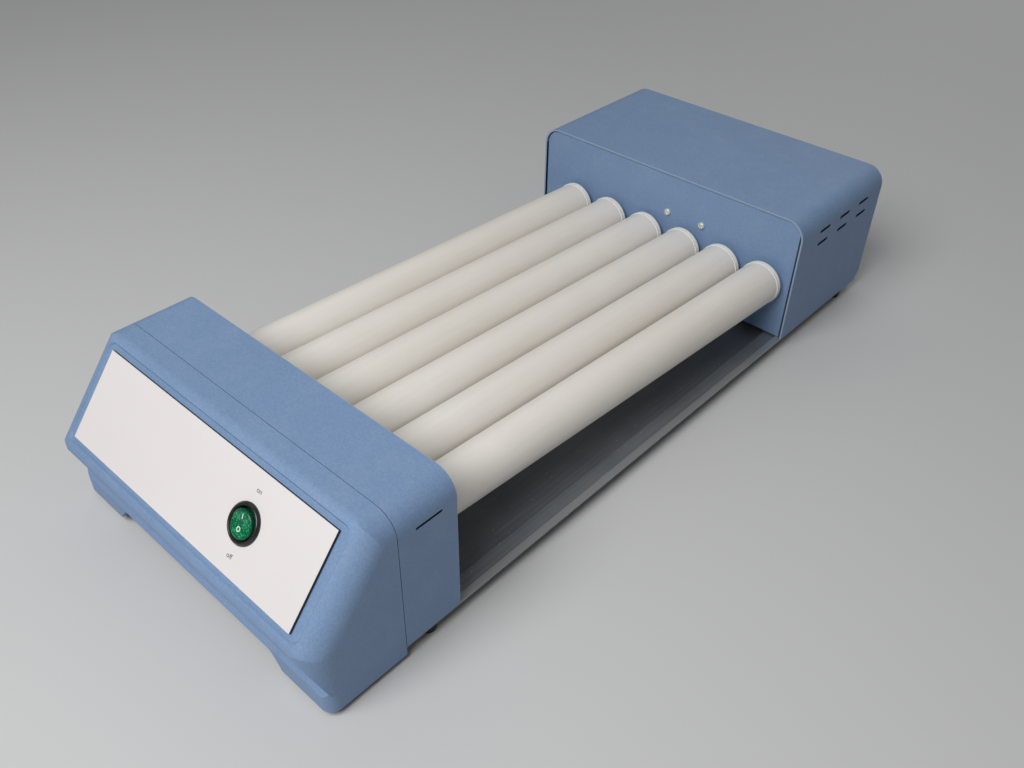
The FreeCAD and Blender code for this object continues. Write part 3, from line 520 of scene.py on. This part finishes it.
def tray_metal(name, lip_level):
    """Satin sheet with fine lines along the machine, soft stains, scratches and specks of dust.

    The face of its lip, at lip_level, carries a painted highlight.
    """
    surface = Surface(name, TRAY_ROUGHNESS, TRAY_METALLIC)
    lines = surface.noise(detail=4.0, roughness=0.6, stretch=(900, 9, 900))
    stains = surface.noise(16.0, detail=5.0, roughness=0.6)
    specks = surface.cells(150.0)
    scratches = surface.noise(detail=2.0, stretch=(260, 12, 260))
    tone = surface.ramp(lines, (0.3, TRAY_DARK), (0.7, TRAY_LIGHT))
    blotch = surface.ramp(stains, (0.32, (0.82, 0.84, 0.87)), (0.68, grey(1.0)))
    tone = surface.mix(1.0, tone, blotch, "MULTIPLY")
    scratched = surface.remap(scratches, (0.0, 0.16), over=(0.68, 0.80))
    tone = surface.mix(scratched, tone, TRAY_SCRATCH)
    tone = surface.mix(surface.remap(specks, (0.5, 0.0), over=(0.05, 0.10)), tone, TRAY_SPECK)
    height = surface.along(ALONG_Z)
    # painted highlight on the top of the lip
    lip_highlight = surface.remap(height, (0.0, 0.55), over=(lip_level - 0.5 * MM, lip_level - 0.2 * MM))
    surface.to("Base Color", surface.mix(lip_highlight, tone, TRAY_LIP_HIGHLIGHT))
    surface.to("Roughness", surface.remap(stains, (0.30, 0.48), over=(0.3, 0.7)))
    surface.bump(lines, strength=0.2, distance=0.03 * MM)
    return surface.material


def sleeve(name):
    """Off-white tube, faintly streaked along its length and yellowed in places."""
    surface = Surface(name, SLEEVE_ROUGHNESS)
    streaks = surface.noise(detail=4.0, roughness=0.6, stretch=(330, 5, 330))
    patches = surface.noise(11.0, detail=4.0, roughness=0.55)
    fine = surface.noise(1300.0, detail=2.0, roughness=0.6)
    marks = surface.noise(detail=3.0, roughness=0.7, stretch=(150, 60, 150))
    tone = surface.ramp(patches, (0.32, SLEEVE_YELLOWED), (0.68, SLEEVE_CLEAN))
    streak = surface.ramp(streaks, (0.34, SLEEVE_STREAK), (0.66, grey(1.0)))
    tone = surface.mix(1.0, tone, streak, "MULTIPLY")
    tone = surface.mix(surface.remap(marks, (0.0, 0.12), over=(0.68, 0.80)), tone, SLEEVE_MARK)
    surface.to("Base Color", tone)
    surface.to("Roughness", surface.remap(streaks, (0.36, 0.48)))
    surface.bump(fine, strength=0.3, distance=0.02 * MM)
    return surface.material


def printed_plate(name, point):
    """Warm white face, through a point, with a fine satin grain, and painted shade on its sides below the face."""
    surface = Surface(name, PLATE_ROUGHNESS)
    drift = surface.noise(6.0)
    fine = surface.noise(2400.0, detail=2.0, roughness=0.6)
    face = surface.ramp(drift, (0.3, PLATE_DARK), (0.7, PLATE_LIGHT))
    light = surface.ramp(fine, (0.35, grey(0.97)), (0.65, grey(1.0)))
    face = surface.mix(1.0, face, light, "MULTIPLY")
    # painted shade on the plate's sides, below its face
    height = surface.combine(surface.along(OUT_OF_SLOPE), -point.dot(OUT_OF_SLOPE))
    side_shade = surface.remap(height, (1.0, 0.0), over=(-0.25 * MM, -0.12 * MM))
    surface.to("Base Color", surface.mix(side_shade, face, PLATE_SIDE_SHADE))
    surface.to("Roughness", surface.remap(fine, (0.40, 0.50)))
    surface.bump(fine, strength=0.25, distance=0.01 * MM)
    return surface.material


def lens_green(name):
    """Clear green plastic with small prisms under its face, and painted shade towards its rim."""
    surface = Surface(name, LENS_ROUGHNESS)
    prisms = surface.cells(850.0)
    cloud = surface.noise(180.0)
    tone = surface.ramp(prisms, (0.06, LENS_GLINT), (0.26, LENS_GREEN), (0.62, LENS_DEEP))
    shade = surface.ramp(cloud, (0.3, grey(0.70)), (0.7, grey(1.0)))
    tone = surface.mix(1.0, tone, shade, "MULTIPLY")
    pivot, up, _ = rocker_frame()
    squares = []
    for direction in (ALONG_X, up):
        away = surface.combine(surface.along(direction), -pivot.dot(direction))
        squares.append(surface.combine(away, away, "MULTIPLY"))
    radius = surface.combine(surface.combine(*squares), 0.5, "POWER")
    # painted shade: darker green towards the rocker's rim
    rim_shade_range = (ROCKER_RADIUS - 2.2 * MM, ROCKER_RADIUS - 0.3 * MM)
    rim = surface.remap(radius, (0.0, 0.85), over=rim_shade_range)
    surface.to("Base Color", surface.mix(rim, tone, LENS_RIM_SHADE))
    surface.to("Roughness", surface.remap(cloud, (0.16, 0.28)))
    surface.shader.inputs["Specular IOR Level"].default_value = LENS_SPECULAR
    surface.bump(prisms, strength=0.25, distance=0.15 * MM)
    return surface.material


def make_materials():
    """A finish for each material slot of the record, for the rear end panel and for the marks."""
    cover_edges = (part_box("front_cover")[1][1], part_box("rear_cover")[0][1])
    cover_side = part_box("rear_cover")[1][0]
    panel_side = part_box("rear_end_panel")[1][0]
    lip_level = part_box("base_pan")[1][2]
    materials = {name: speckled(name, *finish) for name, finish in SPECKLED.items()}
    materials.update({name: brushed(name, *finish) for name, finish in BRUSHED.items()})
    materials.update({
        "blue_paint": textured_paint("blue_paint", cover_edges, side_at=cover_side),
        "panel_paint_edge_shade": textured_paint("panel_paint_edge_shade", gap_at=panel_side - PANEL_SHADE_WIDTH),
        "bezel_blue": textured_paint("bezel_blue"),
        "label_film": printed_plate("label_film", switch_centre()),
        "tray_steel": tray_metal("tray_steel", lip_level),
        "roller_sleeve": sleeve("roller_sleeve"),
        "rocker_green": lens_green("rocker_green"),
    })
    return materials


def dress_nodes(materials):
    """Give each CAD node the finish of its slot."""
    finishes = {part["node"]: part["material_slot"] for part in frame["record"]["subparts"]}
    # the rear end panel's paint carries painted shade along its edge
    finishes["rear_end_panel"] = "panel_paint_edge_shade"
    for name, node in nodes.items():
        node.data.materials.clear()
        node.data.materials.append(materials[finishes[name]])


# Mesh building

def rounded(corners, steps=ARC_STEPS):
    """Profile points through corners (radius, along[, round]), with an arc at each round."""
    points = []
    for index, corner in enumerate(corners):
        here = Vector(corner[:2])
        if len(corner) < 3:
            points.append(here)
            continue
        before = (Vector(corners[index - 1][:2]) - here).normalized()
        after = (Vector(corners[(index + 1) % len(corners)][:2]) - here).normalized()
        half = before.angle(after) / 2
        centre = here + (before + after).normalized() * (corner[2] / math.sin(half))
        first = here + before * (corner[2] / math.tan(half)) - centre
        last = here + after * (corner[2] / math.tan(half)) - centre
        for step in range(steps + 1):
            share = step / steps
            arm = first * (1 - share) + last * share
            points.append(centre + arm.normalized() * corner[2])
    return points


def rod_profile(radius, reach, edge):
    """Profile of a rod with a rounded far edge."""
    return rounded([(0, 0), (radius, 0), (radius, reach, edge), (0, reach)], CAP_ARC_STEPS)


def join_rings(form, rings):
    """Skin rings of vertices, of which any may be a single point."""
    for low, high in zip(rings, rings[1:]):
        for step in range(ROUND_STEPS):
            after = (step + 1) % ROUND_STEPS
            quad = (low[step % len(low)], low[after % len(low)],
                    high[after % len(high)], high[step % len(high)])
            corners = list(dict.fromkeys(quad))
            if len(corners) > 2:
                form.faces.new(corners)


def turned(form, profile, start, axis):
    """Add the solid of revolution of a profile of (radius, along) to a bmesh."""
    axis = axis.normalized()
    side = axis.orthogonal().normalized()
    other = axis.cross(side)
    rings = []
    for radius, along in profile:
        centre = start + axis * along
        if radius < TINY:
            rings.append([form.verts.new(centre)])
            continue
        ring = []
        for step in range(ROUND_STEPS):
            turn = 2 * math.pi * step / ROUND_STEPS
            arm = side * math.cos(turn) + other * math.sin(turn)
            ring.append(form.verts.new(centre + arm * radius))
        rings.append(ring)
    join_rings(form, rings)


def finish_mesh(form, name):
    """Mesh from a bmesh, smooth but for its sharp edges."""
    bmesh.ops.recalc_face_normals(form, faces=form.faces)
    mesh = bpy.data.meshes.new(name)
    form.to_mesh(mesh)
    form.free()
    mesh.polygons.foreach_set("use_smooth", [True] * len(mesh.polygons))
    mesh.set_sharp_from_angle(angle=SHARP_ANGLE)
    return mesh


def add_piece(name, mesh, material, body, replaced=()):
    """Object with its finish, on its body, in place of the nodes that it stands for."""
    piece = add_object(name, mesh)
    mesh.materials.clear()
    mesh.materials.append(material)
    if replaced:
        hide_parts(*replaced)
    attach(piece, body)


# Roller caps

def roller_cap(number, side, materials):
    """Moulded cap with its boss and stub axle.

    It is the front one where side is -1, and the rear one where side is 1.
    """
    name = "roller_%d_%s_cap" % (number, "front" if side < 0 else "rear")
    pivot = Vector(joints["roller_%d_spin" % number]["pos_m"])
    front_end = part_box("front_cover")[1][1] + ROLLER_END_GAP
    rear_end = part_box("rear_cover")[0][1] - ROLLER_END_GAP
    low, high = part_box(name)
    if side < 0:
        end, panel, tip = front_end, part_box("front_end_panel")[1][1], low[1]
    else:
        end, panel, tip = rear_end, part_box("rear_end_panel")[0][1], high[1]
    form = bmesh.new()
    middle = Vector((pivot.x + side * ROLLER_THROW, end, pivot.z))
    tube_axis = Vector((2 * ROLLER_THROW, rear_end - front_end, 0))
    turned(form, rounded(CAP_PROFILE, CAP_ARC_STEPS), middle, tube_axis * -side)
    outward = ALONG_Y * side
    boss_root = Vector((pivot.x, end - side * CAP_THICKNESS / 2, pivot.z))
    boss_reach = abs(panel - end) - BUSH_FLANGE + CAP_THICKNESS / 2
    turned(form, rod_profile(BOSS_RADIUS, boss_reach, BOSS_EDGE), boss_root, outward)
    axle_root = Vector((pivot.x, end - side * AXLE_GRIP, pivot.z))
    axle_reach = abs(tip - axle_root.y)
    turned(form, rod_profile(AXLE_RADIUS, axle_reach, AXLE_EDGE), axle_root, outward)
    mesh = finish_mesh(form, name)
    body = "roller_%d" % number
    add_piece(name + "_fine", mesh, materials["cap_white"], body, (name,))


# Power switch

def switch_centre():
    """Middle of the switch on the label's face."""
    return Vector(joints["power_rocker"]["pos_m"]) + OUT_OF_SLOPE * PIVOT_DEPTH


def switch_ring(materials):
    """Flange with a rounded lip, barrel and pocket."""
    form = bmesh.new()
    turned(form, rounded(SWITCH_RING_PROFILE), switch_centre(), OUT_OF_SLOPE)
    mesh = finish_mesh(form, "switch_ring")
    material = materials["switch_black"]
    add_piece("switch_ring", mesh, material, "housing", ("switch_body",))


def rocker_height(across, along):
    """Height of the rocker's face above its pivot: a shallow V with a soft valley and rim."""
    rise = (math.hypot(along, ROCKER_BEND) - ROCKER_BEND) * ROCKER_DIP / ROCKER_RADIUS
    into_rim = (math.hypot(across, along) - ROCKER_RADIUS) / ROCKER_RIM + 1
    drop = 1 - math.sqrt(1 - min(1.0, max(0.0, into_rim)) ** 2)
    return ROCKER_VALLEY + rise - ROCKER_RIM_DROP * drop


def rocker_frame():
    """Pivot, up and out of the rocker at rest, tipped to its off side."""
    up = UP_SLOPE * math.cos(ROCKER_TIP) + OUT_OF_SLOPE * math.sin(ROCKER_TIP)
    out = OUT_OF_SLOPE * math.cos(ROCKER_TIP) - UP_SLOPE * math.sin(ROCKER_TIP)
    return Vector(joints["power_rocker"]["pos_m"]), up, out


def rocker(materials):
    """Round rocker: rings of its face, a plain skirt, and its pivot pins."""
    pivot, up, out = rocker_frame()
    form = bmesh.new()
    loops = [[form.verts.new(pivot + out * rocker_height(0, 0))]]
    rings = []                       # radius, and height where it isn't the face's own
    for ring in range(1, ROCKER_RINGS + 1):
        rings.append((ROCKER_RADIUS * math.sin(math.pi / 2 * ring / ROCKER_RINGS), None))
    rings += [
        (ROCKER_RADIUS, 0.0),
        (ROCKER_RADIUS, SKIRT_BOTTOM + SKIRT_EDGE),
        (ROCKER_RADIUS - SKIRT_EDGE, SKIRT_BOTTOM),
    ]
    for radius, level in rings:
        loop = []
        for step in range(ROUND_STEPS):
            turn = 2 * math.pi * step / ROUND_STEPS
            across, along = radius * math.cos(turn), radius * math.sin(turn)
            height = rocker_height(across, along) if level is None else level
            loop.append(form.verts.new(pivot + ALONG_X * across + up * along + out * height))
        loops.append(loop)
    loops.append([form.verts.new(pivot + out * SKIRT_BOTTOM)])
    join_rings(form, loops)
    pins = [(0, -PIN_REACH), (PIN_RADIUS, -PIN_REACH), (PIN_RADIUS, PIN_REACH), (0, PIN_REACH)]
    turned(form, pins, pivot, ALONG_X)
    mesh = finish_mesh(form, "rocker_lens")
    material = materials["rocker_green"]
    add_piece("rocker_lens", mesh, material, "rocker", ("switch_rocker",))


def rocker_mark(name, first, second, materials):
    """Thin inlay between two lines of (across, along) points on the rocker's face."""
    pivot, up, out = rocker_frame()
    form = bmesh.new()
    rows = []
    for line in (first, second):
        row = []
        for across, along in line:
            height = rocker_height(across, along) + MARK_LIFT
            row.append(form.verts.new(pivot + ALONG_X * across + up * along + out * height))
        rows.append(row)
    for step in range(len(first) - 1):
        form.faces.new((rows[0][step], rows[0][step + 1], rows[1][step + 1], rows[1][step]))
    bmesh.ops.remove_doubles(form, verts=form.verts, dist=TINY)
    bmesh.ops.solidify(form, geom=form.faces[:], thickness=MARK_THICKNESS)
    mesh = finish_mesh(form, name)
    add_piece(name, mesh, materials["rocker_mark"], "rocker")


def rocker_marks(materials):
    """Ring on the off half and bar on the on half."""
    turns = [2 * math.pi * step / MARK_STEPS for step in range(MARK_STEPS + 1)]
    ovals = []
    for half_across, half_along in (OFF_OUTER, OFF_INNER):
        ovals.append([(half_across * math.cos(turn), OFF_PLACE + half_along * math.sin(turn))
                      for turn in turns])
    rocker_mark("rocker_mark_off", *ovals, materials)
    half_across, half_along = ON_BAR
    levels = [ON_PLACE + half_along * share for share in (-1, -0.5, 0, 0.5, 1)]
    left = [(-half_across, level) for level in levels]
    right = [(half_across, level) for level in levels]
    rocker_mark("rocker_mark_on", left, right, materials)


def switch_words(materials):
    """The words beside the switch, printed on the label."""
    axes = Matrix((ALONG_X, UP_SLOPE, OUT_OF_SLOPE)).transposed().to_4x4()
    for word, down in WORDS_DOWN.items():
        curve = bpy.data.curves.new("word_" + word, "FONT")
        curve.body = word
        curve.size = WORD_SIZE
        curve.align_x = "CENTER"
        curve.align_y = "CENTER"
        curve.extrude = WORD_THICKNESS
        source = add_object("word_source", curve)
        mesh = evaluated_mesh(source)
        bpy.data.objects.remove(source)
        bpy.data.curves.remove(curve)
        place = switch_centre() + UP_SLOPE * (SWITCH_DOWN - down) + OUT_OF_SLOPE * WORD_LIFT
        mesh.transform(Matrix.Translation(place) @ axes)
        add_piece("word_" + word, mesh, materials["label_print"], "housing")


# Screws

def cut_cross(head, cross):
    """Cut a cross recess into the top of a head that lies along +Z."""
    depth, reach, width = cross
    form = bmesh.new()
    for turn in (0, math.pi / 2):
        made = bmesh.ops.create_cube(form, size=1.0)
        shape = Matrix.Diagonal((reach, width, 2 * depth, 1))
        place = Matrix.Rotation(turn, 4, "Z") @ shape
        bmesh.ops.transform(form, matrix=place, verts=made["verts"])
    cutter_mesh = bpy.data.meshes.new("cross")
    form.to_mesh(cutter_mesh)
    form.free()
    cutter = add_object("cross", cutter_mesh)
    target = add_object("head", head)
    modifier = target.modifiers.new("cross", "BOOLEAN")
    modifier.object = cutter
    modifier.operation = "DIFFERENCE"
    modifier.solver = "EXACT"
    modifier.use_self = True
    result = evaluated_mesh(target)
    bpy.data.objects.remove(target)
    bpy.data.objects.remove(cutter)
    return result


def screw_head(name, profile, cross):
    """Head with a cross recess: its top is at the origin and its shank would run along -Z."""
    form = bmesh.new()
    turned(form, rounded(profile), Vector((0, 0, 0)), ALONG_Z)
    return cut_cross(finish_mesh(form, name), cross)


def screw_levels(node, outward):
    """Levels of a node's screws by axis: their tops, and their middles at the sides of its box.

    A side too narrow for two rows of heads has one row along its middle.
    """
    levels = []
    for low, high, facing in zip(*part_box(node), outward):
        if abs(facing) > 0.5:
            levels.append([high if facing > 0 else low])
        elif high - low < 3 * HEAD_RADIUS:
            levels.append([(low + high) / 2])
        else:
            levels.append([low + HEAD_RADIUS, high - HEAD_RADIUS])
    return levels


def screw_set(node, head, outward, materials):
    """Heads and shanks of one node's screws, which stand at the corners of its box."""
    low, high = (Vector(corner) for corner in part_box(node))
    reach = abs((high - low).dot(outward))
    shank = [
        (0, HEAD_HEIGHT),
        (SHANK_RADIUS, HEAD_HEIGHT),
        (SHANK_RADIUS, reach - SHANK_POINT),
        (POINT_RADIUS, reach),
        (0, reach),
    ]
    facing = outward.to_track_quat("Z", "Y").to_matrix().to_4x4()
    xs, ys, zs = screw_levels(node, outward)
    form = bmesh.new()
    for index, top in enumerate([Vector((x, y, z)) for x in xs for y in ys for z in zs]):
        turn = Matrix.Rotation(FIRST_TURN + index * NEXT_TURN, 4, "Z")
        copy = head.copy()
        copy.transform(Matrix.Translation(top) @ facing @ turn)
        form.from_mesh(copy)
        bpy.data.meshes.remove(copy)
        turned(form, shank, top, -outward)
    name = node + "_fine"
    mesh = finish_mesh(form, name)
    add_piece(name, mesh, materials["plated_screw"], "housing", (node,))


set_camera()
set_light()
set_floor()
materials = make_materials()
dress_nodes(materials)

for number in range(1, 7):
    for side in (-1, 1):
        roller_cap(number, side, materials)
switch_ring(materials)
rocker(materials)
rocker_marks(materials)
switch_words(materials)
pan_head = screw_head("pan_head", PAN_PROFILE, PAN_CROSS)
flat_head = screw_head("flat_head", FLAT_PROFILE, FLAT_CROSS)
screw_set("motor_screws", pan_head, -ALONG_Y, materials)
for node in ("foot_screws", "cover_screws", "bezel_screws"):
    screw_set(node, pan_head, -ALONG_Z, materials)
screw_set("inlet_screws", flat_head, ALONG_Y, materials)

scene = bpy.context.scene
scene.view_settings.view_transform = "Standard"
